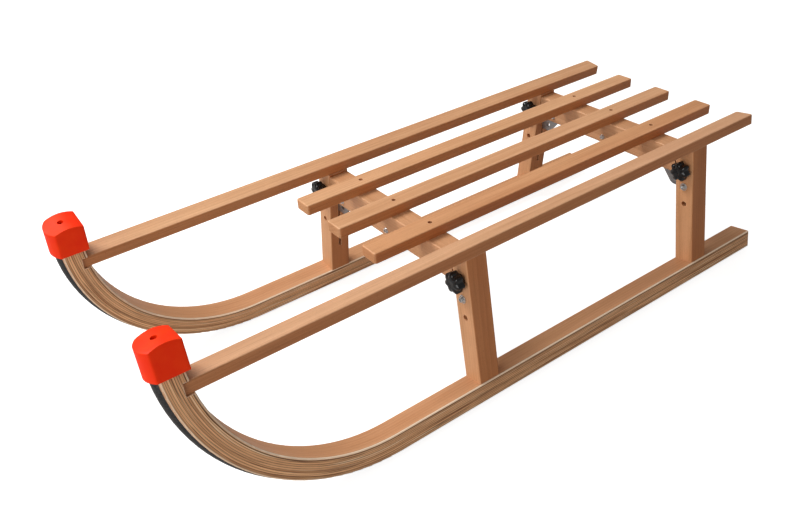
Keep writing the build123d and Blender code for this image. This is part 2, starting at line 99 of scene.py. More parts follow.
def newGroup(name, inputs, outputs):
    group = bpy.data.node_groups.new(name, "ShaderNodeTree")
    kinds = {"vector": "NodeSocketVector", "colour": "NodeSocketColor", "value": "NodeSocketFloat"}
    for socket, (kind, start) in inputs.items():
        made = group.interface.new_socket(socket, in_out="INPUT", socket_type=kinds[kind])
        if start is not None:
            made.default_value = start
    for socket, kind in outputs.items():
        group.interface.new_socket(socket, in_out="OUTPUT", socket_type=kinds[kind])
    return group, group.nodes.new("NodeGroupInput").outputs, group.nodes.new("NodeGroupOutput").inputs


def useGroup(tree, group, inputs):
    return addNode(tree, "ShaderNodeGroup", inputs, node_tree=group).outputs


def newFinish(name):
    finish = bpy.data.materials.new(name)
    finish.use_nodes = True
    return finish, finish.node_tree, finish.node_tree.nodes["Principled BSDF"]


def placeOn(tree, turn=(0, 0, 0), move=(0, 0, 0), stretch=(1, 1, 1)):
    source = tree.nodes.new("ShaderNodeTexCoord")
    angles = [math.radians(a) for a in turn]
    place = addNode(tree, "ShaderNodeMapping", {"Vector": source.outputs["Object"], "Location": move,
                                                "Rotation": angles, "Scale": stretch})
    facing = addNode(tree, "ShaderNodeMapping", {"Vector": source.outputs["Normal"], "Rotation": angles,
                                                 "Scale": stretch}, vector_type="VECTOR")
    return place.outputs[0], facing.outputs[0], source.outputs["Normal"]


def bumpFrom(tree, shader, height, strength, distance):
    bump = addNode(tree, "ShaderNodeBump", {"Height": height, "Strength": strength, "Distance": distance})
    tree.links.new(bump.outputs[0], shader.inputs["Normal"])


cameraSettings = {
    "lookAt": (0.0083, -0.0862, 0.1526),
    "azimuth": 56.035,      # degrees round from the front
    "elevation": 32.964,
    "roll": -4.209,
    "distance": 1.2307,
    "lens": 37.777,
}
lightSettings = {
    "lightTarget": (0, 0, 0.12),
    "keyPlace": (-1.5, -1.15, 2.75),
    "keySize": 1.5,
    "keyPower": 98,
    "fillPlace": (1.0, -2.8, 1.0),
    "fillSize": 2.0,
    "fillPower": 38,
    "skyStrength": 0.28,
    "skySeen": 1.1,          # how bright the sky looks to the camera
    "skyColour": (1.0, 0.97, 0.94, 1),
    "floorSize": 30,
    "floorRoughness": 0.9,
    "floorColour": (0.50, 0.49, 0.48, 1),
    "floorGlow": 0.85,       # seen by the camera only, so that it lights nothing
}


def aimAt(thing, target):
    thing.rotation_euler = (Vector(target) - thing.location).to_track_quat("-Z", "Y").to_euler()


def makeCamera(settings):
    azimuth, elevation = math.radians(settings["azimuth"]), math.radians(settings["elevation"])
    towardsCamera = Vector((math.sin(azimuth) * math.cos(elevation),
                            -math.cos(azimuth) * math.cos(elevation), math.sin(elevation)))
    data = bpy.data.cameras.new("camera")
    data.lens = settings["lens"]
    data.sensor_fit = "HORIZONTAL"
    camera = bpy.data.objects.new("camera", data)
    bpy.context.scene.collection.objects.link(camera)
    turn = (-towardsCamera).to_track_quat("-Z", "Y").to_matrix().to_4x4()
    place = Vector(settings["lookAt"]) + towardsCamera * settings["distance"]
    roll = Matrix.Rotation(math.radians(settings["roll"]), 4, "Z")
    camera.matrix_world = Matrix.Translation(place) @ turn @ roll
    bpy.context.scene.camera = camera


def makeAreaLight(name, settings):
    data = bpy.data.lights.new(name + "Light", "AREA")
    data.size, data.energy = settings[name + "Size"], settings[name + "Power"]
    lamp = bpy.data.objects.new(name + "Light", data)
    bpy.context.scene.collection.objects.link(lamp)
    lamp.location = settings[name + "Place"]
    aimAt(lamp, settings["lightTarget"])


def makeStage(settings):
    makeAreaLight("key", settings)
    makeAreaLight("fill", settings)
    world = bpy.data.worlds.new("studio")
    world.use_nodes = True
    sky = world.node_tree.nodes["Background"]
    sky.inputs["Color"].default_value = settings["skyColour"]
    direct = addNode(world.node_tree, "ShaderNodeLightPath").outputs["Is Camera Ray"]
    strength = spread(world.node_tree, direct, 0.0, 1.0, settings["skyStrength"], settings["skySeen"])
    world.node_tree.links.new(strength, sky.inputs["Strength"])
    bpy.context.scene.world = world
    bpy.ops.mesh.primitive_plane_add(size=settings["floorSize"])
    floor = bpy.context.object
    floor.name = "studioFloor"
    paint, tree, shader = newFinish("studioFloor")
    shader.inputs["Base Color"].default_value = settings["floorColour"]
    shader.inputs["Roughness"].default_value = settings["floorRoughness"]
    shader.inputs["Emission Color"].default_value = (1, 1, 1, 1)
    seen = addNode(tree, "ShaderNodeLightPath").outputs["Is Camera Ray"]
    tree.links.new(scaled(tree, seen, settings["floorGlow"]), shader.inputs["Emission Strength"])
    floor.data.materials.append(paint)
    bpy.context.scene.view_settings.view_transform = "Standard"


makeCamera(cameraSettings)
makeStage(lightSettings)
print("camera, floor and lights placed")


edgeWearAndHighlightLook = {
    "flatMatch": 0.995,      # how well the rounded and the true normal agree on a flat face
    "edgeMatch": 0.86,       # and on a rounded edge
    "patchScale": (120, 120, 120),
    "patchRange": (0.35, 0.6),
    "leastWear": 0.3,
    "samples": 4,
}


def makeEdgeWearAndHighlight():
    # how far a point lies on a rounded edge: 0 on the flat, 1 on the edge; used for wear, and on the wood for
    # a painted edge highlight too
    look = edgeWearAndHighlightLook
    tree, given, result = newGroup("edgeWearAndHighlight", {"Place": ("vector", None), "Width": ("value", None)},
                                   {"Mask": "value"})
    soft = addNode(tree, "ShaderNodeBevel", {"Radius": given["Width"]}, samples=look["samples"])
    plain = tree.nodes.new("ShaderNodeNewGeometry")
    match = calcVector(tree, "DOT_PRODUCT", soft.outputs[0], plain.outputs["True Normal"], "Value")
    edge = spread(tree, match, look["flatMatch"], look["edgeMatch"])
    patchy = spread(tree, noiseAt(tree, given["Place"], look["patchScale"], 3), *look["patchRange"],
                    look["leastWear"], 1.0)
    tree.links.new(calc(tree, "MULTIPLY", edge, patchy), result["Mask"])
    return tree


# scales are given along the grain, then twice across it, in waves per metre
grainLook = {
    "broad": (2.2, 38, 38),
    "broadShare": 0.75,
    "streaks": (16, 900, 900),
    "streakShare": 0.55,
    "ringStretch": (0.05, 1, 1),
    "heart": (0, 0.11, 0.05),            # how far off the middle of the tree lies
    "rings": {"Scale": 62.0, "Distortion": 7.0, "Detail": 2.0, "Detail Scale": 0.7},
    "ringShare": 0.16,
    "toneRange": (0.45, 0.95),
    "blush": (3.4, 22, 22),
    "blushStart": (3.1, 0.7, 0.2),
    "blushRange": (0.38, 0.66),
    "blushAmount": 0.35,
    "blushTint": (1.0, 0.90, 0.90, 1),
    "flecks": (300, 2300, 2300),
    "fleckRange": (0.63, 0.72),
    "fleckAmount": 0.42,
    "fleckColour": (0.30, 0.13, 0.055, 1),
    "lines": (9, 420, 420),
    "lineRange": (0.60, 0.74),
    "lineAmount": 0.38,
    "lineColour": (0.40, 0.18, 0.08, 1),
    "endRange": (0.78, 0.94),            # how squarely a face must cross the grain to show end grain
    "pores": (0, 1500, 1500),
    "poreRange": (0.35, 0.65),
    "poreTints": ((0.68, 0.58, 0.48, 1), (0.97, 0.93, 0.88, 1)),
    "polish": (0.3, 0.7, 0.34, 0.50),    # streak values, and the roughness that they give
    "endRoughness": 0.25,
    "streakHeight": 0.7,
    "ringHeight": 0.25,
    "fleckDepth": 0.5,
}


def makeBeechGrain():
    # x of Place runs along the grain, in metres
    look = grainLook
    tree, given, result = newGroup(
        "beechGrain",
        {"Place": ("vector", None), "Facing": ("vector", None), "Light": ("colour", None),
         "Dark": ("colour", None), "Side": ("value", None), "SideShadeTint": ("colour", None)},
        {"Colour": "colour", "Roughness": "value", "Height": "value"})
    place = given["Place"]
    broad = noiseAt(tree, place, look["broad"], 3)
    ringPlace = calcVector(tree, "MULTIPLY", place, look["ringStretch"])
    ringPlace = calcVector(tree, "ADD", ringPlace, look["heart"])
    rings = addNode(tree, "ShaderNodeTexWave", {"Vector": ringPlace, **look["rings"]}, wave_type="RINGS",
                    rings_direction="X", wave_profile="SAW").outputs["Fac"]
    streaks = noiseAt(tree, place, look["streaks"], 3)
    flecks = spread(tree, noiseAt(tree, place, look["flecks"], 1), *look["fleckRange"])
    lines = spread(tree, noiseAt(tree, place, look["lines"], 2), *look["lineRange"])
    fine = calc(tree, "ADD", scaled(tree, streaks, look["streakShare"]),
                scaled(tree, rings, look["ringShare"]))
    tone = calc(tree, "ADD", scaled(tree, broad, look["broadShare"]), fine)
    colour = mixColours(tree, spread(tree, tone, *look["toneRange"]), given["Dark"], given["Light"])
    blushPlace = calcVector(tree, "ADD", place, look["blushStart"])
    blush = spread(tree, noiseAt(tree, blushPlace, look["blush"], 2), *look["blushRange"])
    colour = mixColours(tree, scaled(tree, blush, look["blushAmount"]), colour,
                        tinted(tree, colour, look["blushTint"]))
    colour = mixColours(tree, scaled(tree, flecks, look["fleckAmount"]), colour, look["fleckColour"])
    colour = mixColours(tree, scaled(tree, lines, look["lineAmount"]), colour, look["lineColour"])
    # painted shade: faces that point sideways are darkened and warmed
    colour = mixColours(tree, given["Side"], colour, tinted(tree, colour, given["SideShadeTint"]))
    ends = spread(tree, calc(tree, "ABSOLUTE", splitAxes(tree, given["Facing"])[0]), *look["endRange"])
    pores = spread(tree, noiseAt(tree, place, look["pores"], 2), *look["poreRange"])
    endColour = tinted(tree, colour, mixColours(tree, pores, *look["poreTints"]))
    tree.links.new(mixColours(tree, ends, colour, endColour), result["Colour"])
    shine = calc(tree, "ADD", spread(tree, streaks, *look["polish"]),
                 scaled(tree, ends, look["endRoughness"]))
    tree.links.new(shine, result["Roughness"])
    raised = calc(tree, "ADD", scaled(tree, streaks, look["streakHeight"]),
                  scaled(tree, rings, look["ringHeight"]))
    tree.links.new(calc(tree, "SUBTRACT", raised, scaled(tree, flecks, look["fleckDepth"])), result["Height"])
    return tree


plyLook = {
    "curlStart": -0.2385,                # where the straight sole ends
    "curlRadius": 0.2685,
    "middle": -0.015,                    # across the frame
    "layer": 0.00273,                    # thickness of one layer
    "wander": 0.0011,
    "wanderScale": (9, 0, 0),
    "secondSeed": 37.3,
    "layerShift": 1.7,                   # moves the grain on from layer to layer
    "streaks": (13, 200, 780),
    "patches": (7, 30, 60),
    "shares": (0.30, 0.95, 0.40),        # of layer tone, streaks and patches
    "toneRange": (0.48, 1.02),
    "dark": (0.33, 0.130, 0.050, 1),
    "light": (0.98, 0.545, 0.275, 1),
    "second": (0.30, (0.72, 0.38, 0.19, 1)),     # amount and colour, here and below
    "pale": (8, 100, 620),
    "paleRange": (0.60, 0.68),
    "paleMark": (0.8, (1.0, 0.74, 0.48, 1)),
    "thin": (10, 150, 700),
    "thinRange": (0.60, 0.67),
    "thinMark": (0.75, (0.12, 0.042, 0.017, 1)),
    "glueRange": (0.36, 0.44),           # share of a layer from its middle to its glue
    "glueBreaks": (30, 0, 0),
    "glueBreakRange": (0.3, 0.55, 0.35, 1.0),
    "glueMark": (0.8, (0.045, 0.021, 0.012, 1)),
    "topGlue": 0.0268,                   # height of the dark line under the top layer
    "topGlueRange": (0.0009, 0.0004),
    "topGlueMark": (0.8, (0.06, 0.026, 0.013, 1)),
    # painted highlight on the side faces next to the sole
    "soleHighlightRange": (0.0030, 0.0018),
    "soleEdgeHighlight": (0.75, (0.92, 0.68, 0.47, 1)),
    # painted highlight along the rounded top corners of the runner
    "cornerAcross": (0.0152, 0.0162),
    "cornerHeight": (0.0278, 0.0288),
    "cornerHighlightColour": (1.0, 0.80, 0.60, 1),
}


def stain(tree, colour, mask, mark):
    amount, stainColour = mark
    return mixColours(tree, scaled(tree, mask, amount), colour, stainColour)


def makePlyLayers():
    # Place is the side frame's own: x outwards, y along the sled, z up from the sole. Layers follow the curl.
    look = plyLook
    tree, given, result = newGroup(
        "plyLayers",
        {"Place": ("vector", None), "CurlStart": ("value", look["curlStart"]),
         "CurlRadius": ("value", look["curlRadius"]), "Layer": ("value", look["layer"]),
         "TopGlue": ("value", look["topGlue"]), "Middle": ("value", look["middle"])},
        {"Along": "vector", "Colour": "colour", "CornerHighlight": "value", "Height": "value"})
    x, y, z = splitAxes(tree, given["Place"])
    ahead = calc(tree, "SUBTRACT", y, given["CurlStart"])
    dx = calc(tree, "MINIMUM", ahead, 0.0)
    dz = calc(tree, "SUBTRACT", z, given["CurlRadius"])
    squares = calc(tree, "ADD", calc(tree, "MULTIPLY", dx, dx), calc(tree, "MULTIPLY", dz, dz))
    depth = calc(tree, "SUBTRACT", given["CurlRadius"], calc(tree, "SQRT", squares))    # from the sole
    turned = calc(tree, "ARCTAN2", scaled(tree, dx, -1.0), scaled(tree, dz, -1.0))
    along = calc(tree, "SUBTRACT", calc(tree, "MAXIMUM", ahead, 0.0),
                 calc(tree, "MULTIPLY", turned, given["CurlRadius"]))
    flat = addNode(tree, "ShaderNodeCombineXYZ", {0: along, 1: x, 2: depth}).outputs[0]
    tree.links.new(flat, result["Along"])
    drift = calc(tree, "SUBTRACT", noiseAt(tree, flat, look["wanderScale"], 2), 0.5)
    wandering = calc(tree, "ADD", depth, scaled(tree, drift, look["wander"]))
    layer = calc(tree, "DIVIDE", wandering, given["Layer"])
    which = calc(tree, "FLOOR", layer)
    inside = calc(tree, "FRACT", layer)
    tone = addNode(tree, "ShaderNodeTexWhiteNoise", {"W": which}, noise_dimensions="1D").outputs["Value"]
    second = addNode(tree, "ShaderNodeTexWhiteNoise", {"W": calc(tree, "ADD", which, look["secondSeed"])},
                     noise_dimensions="1D").outputs["Value"]
    shift = addNode(tree, "ShaderNodeCombineXYZ", {0: scaled(tree, which, look["layerShift"])}).outputs[0]
    shifted = calcVector(tree, "ADD", flat, shift)
    streaks = noiseAt(tree, shifted, look["streaks"], 3)
    patches = noiseAt(tree, shifted, look["patches"], 3)
    pale = spread(tree, noiseAt(tree, shifted, look["pale"], 2), *look["paleRange"])
    thin = spread(tree, noiseAt(tree, shifted, look["thin"], 2), *look["thinRange"])
    ofTone, ofStreaks, ofPatches = look["shares"]
    mix = calc(tree, "ADD", scaled(tree, tone, ofTone),
               calc(tree, "ADD", scaled(tree, streaks, ofStreaks), scaled(tree, patches, ofPatches)))
    colour = mixColours(tree, spread(tree, mix, *look["toneRange"]), look["dark"], look["light"])
    colour = stain(tree, colour, second, look["second"])
    colour = stain(tree, colour, pale, look["paleMark"])
    colour = stain(tree, colour, thin, look["thinMark"])
    off = calc(tree, "ABSOLUTE", calc(tree, "SUBTRACT", inside, 0.5))
    breaks = spread(tree, noiseAt(tree, shifted, look["glueBreaks"], 2), *look["glueBreakRange"])
    glue = calc(tree, "MULTIPLY", spread(tree, off, *look["glueRange"]), breaks)
    colour = stain(tree, colour, glue, look["glueMark"])
    under = calc(tree, "ABSOLUTE", calc(tree, "SUBTRACT", depth, given["TopGlue"]))
    colour = stain(tree, colour, spread(tree, under, *look["topGlueRange"]), look["topGlueMark"])
    # painted highlight along the sole edge
    colour = stain(tree, colour, spread(tree, depth, *look["soleHighlightRange"]), look["soleEdgeHighlight"])
    # painted highlight on the rounded top corners
    sideways = calc(tree, "ABSOLUTE", calc(tree, "SUBTRACT", x, given["Middle"]))
    corner = calc(tree, "MULTIPLY", spread(tree, sideways, *look["cornerAcross"]),
                  spread(tree, depth, *look["cornerHeight"]))
    colour = mixColours(tree, corner, colour, look["cornerHighlightColour"])
    tree.links.new(corner, result["CornerHighlight"])
    tree.links.new(colour, result["Colour"])
    tree.links.new(calc(tree, "SUBTRACT", streaks, glue), result["Height"])
    return tree


marksLook = {
    "smudges": (26, 26, 26),
    "smudgeRange": (0.35, 0.7),
    "specks": (900, 900, 900),
    "speckRange": (0.66, 0.74),
}


def makeHandlingMarks():
    # soft smudges and small specks
    look = marksLook
    tree, given, result = newGroup("handlingMarks", {"Place": ("vector", None), "Size": ("value", None)},
                                   {"Smudge": "value", "Speck": "value"})
    place = addNode(tree, "ShaderNodeVectorMath", {0: given["Place"], "Scale": given["Size"]},
                    operation="SCALE").outputs[0]
    smudge = spread(tree, noiseAt(tree, place, look["smudges"], 4), *look["smudgeRange"])
    speck = spread(tree, noiseAt(tree, place, look["specks"], 1), *look["speckRange"])
    tree.links.new(smudge, result["Smudge"])
    tree.links.new(speck, result["Speck"])
    return tree


edgeWearAndHighlight = makeEdgeWearAndHighlight()
beechGrain = makeBeechGrain()
plyLayers = makePlyLayers()
handlingMarks = makeHandlingMarks()
print("shared effects built")

beechFinish = {
    "light": (0.74, 0.415, 0.222, 1),
    "dark": (0.54, 0.260, 0.115, 1),
    # painted shade: faces that point sideways along the piece's x are darkened and warmed by this tint
    "sideShadeTint": (0.80, 0.58, 0.40, 1),
    "sideShadeRange": (0.55, 0.95),           # how squarely a face must point sideways
    # partly wear, partly painted highlight: rounded edges are lightened
    "edgeWearAndHighlightColour": (0.78, 0.53, 0.34, 1),
    "edgeAmount": 0.45,
    "edgeWidth": 0.0018,
    "smudgeColour": (0.30, 0.17, 0.09, 1),
    "smudgeAmount": 0.10,
    "smudgeRoughness": 0.08,
    "marksSize": 1.0,
    "coat": 0.06,
    "coatRoughness": 0.28,
    "gloss": 0.3,
    "bump": 0.35,
    "grainDepth": 0.00025,
}


def makeBeech(name, turn, start, tint=(1, 1, 1, 1)):
    wood = beechFinish
    finish, tree, shader = newFinish(name)
    place, facing, normal = placeOn(tree, turn, start)
    # mask for the painted shade on faces that point sideways
    side = spread(tree, calc(tree, "ABSOLUTE", splitAxes(tree, normal)[0]), *wood["sideShadeRange"])
    grain = useGroup(tree, beechGrain, {"Place": place, "Facing": facing, "Light": wood["light"],
                                        "Dark": wood["dark"], "Side": side, "SideShadeTint": wood["sideShadeTint"]})
    marks = useGroup(tree, handlingMarks, {"Place": place, "Size": wood["marksSize"]})
    edge = useGroup(tree, edgeWearAndHighlight, {"Place": place, "Width": wood["edgeWidth"]})["Mask"]
    # rounded edges lightened, partly as wear and partly as a painted highlight
    wornAndHighlit = mixColours(tree, scaled(tree, edge, wood["edgeAmount"]), tinted(tree, grain["Colour"], tint),
                      wood["edgeWearAndHighlightColour"])
    handled = mixColours(tree, scaled(tree, marks["Smudge"], wood["smudgeAmount"]), wornAndHighlit,
                         wood["smudgeColour"])
    tree.links.new(handled, shader.inputs["Base Color"])
    rough = calc(tree, "ADD", grain["Roughness"], scaled(tree, marks["Smudge"], wood["smudgeRoughness"]))
    tree.links.new(rough, shader.inputs["Roughness"])
    shader.inputs["Specular IOR Level"].default_value = wood["gloss"]
    shader.inputs["Coat Weight"].default_value = wood["coat"]
    shader.inputs["Coat Roughness"].default_value = wood["coatRoughness"]
    bumpFrom(tree, shader, grain["Height"], wood["bump"], wood["grainDepth"])
    return finish


runnerFinish = {
    "lean": 8.0,
    "foot": (0.212068, 0.008157),        # X and Z of the frame's own origin
    "treadTint": (0.90, 0.87, 0.86, 1),
    "sawnRange": (0.45, 0.75),           # how squarely a face must show the layers' edges
    # partly wear, partly painted highlight: rounded edges are lightened
    "edgeWearAndHighlightColour": (0.84, 0.64, 0.47, 1),
    "edgeAmount": 0.8,
    "edgeWidth": 0.0022,
    "marksSize": 0.8,
    "roughness": (0.40, 0.56),
    "coat": 0.05,
    "coatRoughness": 0.3,
    "gloss": 0.2,
    "bump": 0.4,
    "grainDepth": 0.0003,
}


def makeLaminated(name, side):
    wood = runnerFinish
    finish, tree, shader = newFinish(name)
    lean = math.radians(wood["lean"])
    footX, footZ = wood["foot"]
    move = (-(footX * math.cos(lean) + footZ * math.sin(lean)), 0,
            footX * math.sin(lean) - footZ * math.cos(lean))
    place, facing = placeOn(tree, (0, wood["lean"], 0), move, (side, 1, 1))[:2]
    ply = useGroup(tree, plyLayers, {"Place": place})
    grain = useGroup(tree, beechGrain, {"Place": ply["Along"], "Facing": (0, 0, 1),
                                        "Light": beechFinish["light"], "Dark": beechFinish["dark"],
                                        "Side": 0.0, "SideShadeTint": beechFinish["sideShadeTint"]})
    sideways = calc(tree, "ABSOLUTE", splitAxes(tree, facing)[0])
    sawn = calc(tree, "MAXIMUM", spread(tree, sideways, *wood["sawnRange"]), ply["CornerHighlight"])
    tread = tinted(tree, grain["Colour"], wood["treadTint"])
    colour = mixColours(tree, sawn, tread, ply["Colour"])
    edge = useGroup(tree, edgeWearAndHighlight, {"Place": place, "Width": wood["edgeWidth"]})["Mask"]
    # rounded edges lightened, partly as wear and partly as a painted highlight
    colour = mixColours(tree, scaled(tree, edge, wood["edgeAmount"]), colour, wood["edgeWearAndHighlightColour"])
    tree.links.new(colour, shader.inputs["Base Color"])
    marks = useGroup(tree, handlingMarks, {"Place": place, "Size": wood["marksSize"]})
    tree.links.new(spread(tree, marks["Smudge"], 0, 1, *wood["roughness"]), shader.inputs["Roughness"])
    shader.inputs["Specular IOR Level"].default_value = wood["gloss"]
    shader.inputs["Coat Weight"].default_value = wood["coat"]
    shader.inputs["Coat Roughness"].default_value = wood["coatRoughness"]
    # a plain mix has its factor at 0 and its values at 2 and 3
    height = addNode(tree, "ShaderNodeMix", {0: sawn, 2: grain["Height"], 3: ply["Height"]}).outputs[0]
    bumpFrom(tree, shader, height, wood["bump"], wood["grainDepth"])
    return finish


plasticFinish = {
    "redPlastic": {
        "low": (0.96, 0.030, 0.0015, 1),
        "high": (1.0, 0.046, 0.003, 1),
        "edge": (1.0, 0.10, 0.014, 1),
        "roughness": (0.46, 0.60),
        "gloss": 0.12,
        "dimple": 0.22,
    },
    "blackPlastic": {
        "low": (0.004, 0.004, 0.005, 1),
        "high": (0.010, 0.010, 0.011, 1),
        "edge": (0.03, 0.03, 0.03, 1),
        "roughness": (0.10, 0.22),
        "gloss": 0.42,
        "dimple": 0.10,
    },
    "marksSize": 1.6,
    "edgeWidth": 0.0012,
    "edgeAmount": 0.5,
    "dimples": (1400, 1400, 1400),
    "dimpleDepth": 0.00015,
}


def makePlastic(name):
    shared, own = plasticFinish, plasticFinish[name]
    finish, tree, shader = newFinish(name)
    place = placeOn(tree)[0]
    marks = useGroup(tree, handlingMarks, {"Place": place, "Size": shared["marksSize"]})
    edge = useGroup(tree, edgeWearAndHighlight, {"Place": place, "Width": shared["edgeWidth"]})["Mask"]
    colour = mixColours(tree, marks["Smudge"], own["low"], own["high"])
    colour = mixColours(tree, scaled(tree, edge, shared["edgeAmount"]), colour, own["edge"])
    tree.links.new(colour, shader.inputs["Base Color"])
    tree.links.new(spread(tree, marks["Smudge"], 0, 1, *own["roughness"]), shader.inputs["Roughness"])
    shader.inputs["Specular IOR Level"].default_value = own["gloss"]
    bumpFrom(tree, shader, noiseAt(tree, place, shared["dimples"], 2), own["dimple"], shared["dimpleDepth"])
    return finish


metalFinish = {
    "shoe": {
        "low": (0.030, 0.030, 0.032, 1),
        "high": (0.085, 0.083, 0.082, 1),
        "roughness": (0.36, 0.55),
        "scratches": (500, 14, 500),
        "wear": (0.6, (0.20, 0.195, 0.19, 1)),
    },
    "strip": {
        "low": (0.30, 0.30, 0.31, 1),
        "high": (0.46, 0.46, 0.46, 1),
        "roughness": (0.32, 0.5),
        "scratches": (14, 500, 500),
        "wear": (0.5, (0.62, 0.62, 0.61, 1)),
    },
    "zinc": {
        "low": (0.52, 0.52, 0.53, 1),
        "high": (0.74, 0.74, 0.73, 1),
        "roughness": (0.22, 0.38),
        "scratches": (420, 420, 420),
        "wear": (0.5, (0.85, 0.85, 0.84, 1)),
    },
    "scratchRange": (0.3, 0.7),
    "marksSize": 2.0,
    "edgeWidth": 0.0009,
    "speck": (0.35, (0.05, 0.045, 0.04, 1)),
    "smudgeRoughness": 0.08,
    "bump": 0.2,
    "scratchDepth": 0.0001,
}


def makeMetal(name):
    shared, own = metalFinish, metalFinish[name]
    finish, tree, shader = newFinish(name + "Steel")
    place = placeOn(tree)[0]
    scratches = noiseAt(tree, place, own["scratches"], 3)
    marks = useGroup(tree, handlingMarks, {"Place": place, "Size": shared["marksSize"]})
    edge = useGroup(tree, edgeWearAndHighlight, {"Place": place, "Width": shared["edgeWidth"]})["Mask"]
    colour = mixColours(tree, spread(tree, scratches, *shared["scratchRange"]), own["low"], own["high"])
    colour = stain(tree, colour, edge, own["wear"])
    colour = stain(tree, colour, marks["Speck"], shared["speck"])
    tree.links.new(colour, shader.inputs["Base Color"])
    shader.inputs["Metallic"].default_value = 1.0
    rough = calc(tree, "ADD", spread(tree, scratches, *shared["scratchRange"], *own["roughness"]),
                 scaled(tree, marks["Smudge"], shared["smudgeRoughness"]))
    tree.links.new(rough, shader.inputs["Roughness"])
    bumpFrom(tree, shader, scratches, shared["bump"], shared["scratchDepth"])
    return finish


redPlastic = makePlastic("redPlastic")
blackPlastic = makePlastic("blackPlastic")
shoeSteel = makeMetal("shoe")
stripSteel = makeMetal("strip")
zincSteel = makeMetal("zinc")
laminatedLeft = makeLaminated("laminatedBeechLeft", 1)
laminatedRight = makeLaminated("laminatedBeechRight", -1)
print("finishes made")

# which way the grain runs, and where each piece was sawn from: turn, start, tint
timberPieces = {
    "seat_slat_left": ((0, 0, -90), (0.31, 0.02, 0.01), (0.96, 0.88, 0.80, 1)),
    "seat_slat_centre": ((0, 0, -90), (1.73, 0.07, 0.05), (1.0, 1.0, 1.0, 1)),
    "seat_slat_right": ((0, 0, -90), (2.91, 0.13, 0.03), (1.04, 1.05, 1.04, 1)),
    "side_slat_left": ((0, 0, -90), (4.17, 0.05, 0.09), (0.98, 1.0, 1.06, 1)),
    "side_slat_right": ((0, 0, -90), (5.53, 0.11, 0.02), (0.97, 0.97, 0.97, 1)),
    "front_crossbeam": ((0, 0, 0), (6.11, 0.04, 0.07), (0.88, 0.84, 0.80, 1)),
    "rear_crossbeam": ((0, 0, 0), (7.37, 0.09, 0.11), (0.87, 0.83, 0.80, 1)),
    "front_leg_left": ((0, 98, 0), (8.23, 0.03, 0.05), (1.0, 0.94, 0.88, 1)),
    "rear_leg_left": ((0, 98, 0), (9.59, 0.08, 0.02), (0.97, 0.91, 0.85, 1)),
    "front_leg_right": ((0, 82, 0), (10.7, 0.02, 0.08), (0.98, 0.93, 0.88, 1)),
    "rear_leg_right": ((0, 82, 0), (11.9, 0.06, 0.03), (1.0, 0.95, 0.90, 1)),
}
otherFinishes = {
    "runner_left": laminatedLeft,
    "runner_right": laminatedRight,
    "steel_shoe": shoeSteel,
    "cap_screw": shoeSteel,
    "tip_cap": redPlastic,
    "star_knob": blackPlastic,
    "pivot_strip": stripSteel,
}


def finishFor(node):
    if node in timberPieces:
        turn, start, tint = timberPieces[node]
        return makeBeech(node + "_beech", turn, start, tint)
    for part, finish in otherFinishes.items():
        if part in node:
            return finish
    return zincSteel


for node, thing in frame["nodes"].items():
    finish = finishFor(node)
    if not thing.material_slots:
        thing.data.materials.append(finish)
    for materialSlot in thing.material_slots:
        materialSlot.material = finish
print("finishes on", len(frame["nodes"]), "parts")


facingAway = 0.9      # a normal's part along Z, for faces that point up or down
upright = 0.99        # and an edge's part along Z


def beginEdit():
    bpy.ops.object.mode_set(mode="EDIT")
    bpy.ops.mesh.select_all(action="DESELECT")


def endEdit():
    bpy.ops.object.mode_set(mode="OBJECT")


def pick(thing, kind, test):
    # select the faces, edges or points that pass the test
    endEdit()
    mesh = thing.data
    bpy.ops.object.mode_set(mode="EDIT")
    bpy.ops.mesh.select_mode(type={"faces": "FACE", "edges": "EDGE", "points": "VERT"}[kind])
    bpy.ops.mesh.select_all(action="DESELECT")
    endEdit()
    if kind == "faces":
        for face in mesh.polygons:
            face.select = test(face.center, face.normal)
    elif kind == "edges":
        for edge in mesh.edges:
            a, b = (mesh.vertices[i].co for i in edge.vertices)
            edge.select = test((a + b) / 2, (b - a).normalized())
    else:
        for point in mesh.vertices:
            point.select = test(point.co)
    bpy.ops.object.mode_set(mode="EDIT")


def onlySelect(thing):
    bpy.ops.object.select_all(action="DESELECT")
    thing.select_set(True)
    bpy.context.view_layer.objects.active = thing


def applyModifier(thing, kind, **settings):
    onlySelect(thing)
    modifier = thing.modifiers.new(kind.lower(), kind)
    for name, value in settings.items():
        setattr(modifier, name, value)
    bpy.ops.object.modifier_apply(modifier=modifier.name)


def settle(thing, matrix, flipped=False):
    # put the finished mesh in its place and leave the object at the origin
    thing.matrix_world = matrix
    onlySelect(thing)
    bpy.ops.object.transform_apply(location=True, rotation=True, scale=True)
    if flipped:
        beginEdit()
        bpy.ops.mesh.select_all(action="SELECT")
        bpy.ops.mesh.normals_make_consistent(inside=False)
        endEdit()


def copyOf(thing, name):
    twin = thing.copy()
    twin.data = thing.data.copy()
    twin.name = name
    bpy.context.scene.collection.objects.link(twin)
    return twin


def frameMatrix(side):
    # the left side frame's own x outwards, y along, z up, and its mirror image on the right
    lean = math.radians(runnerFinish["lean"])
    footX, footZ = runnerFinish["foot"]
    left = Matrix(((math.cos(lean), 0, -math.sin(lean), footX), (0, 1, 0, 0),
                   (math.sin(lean), 0, math.cos(lean), footZ), (0, 0, 0, 1)))
    return left if side == "left" else Matrix.Scale(-1, 4, (1, 0, 0)) @ left


capSizes = {
    "middle": -0.015,        # across the frame
    "halfWidth": 0.0203,
    "front": -0.5088,        # corners of the bulged front
    "rear": -0.470383,
    "nose": 0.00799,
    "rim": 0.2545,
    "shoulder": 0.2922,
    "arch": 0.0045,
    "wall": 0.0026,
    "hollow": 0.0335,        # depth of the hollow
    "cuts": 9,
    "cornerRadius": 0.0015,
    "edgeRadius": 0.0016,
    "hole": 0.0042,
    "holeDepth": 0.005,
    "holeSides": 32,
    "roundSegments": 3,
    "edgeAngle": 38,         # degrees, the sharpest bend left unrounded
    "smoothAngle": 32,
    "near": 1e-5,            # how closely points are matched by place
}


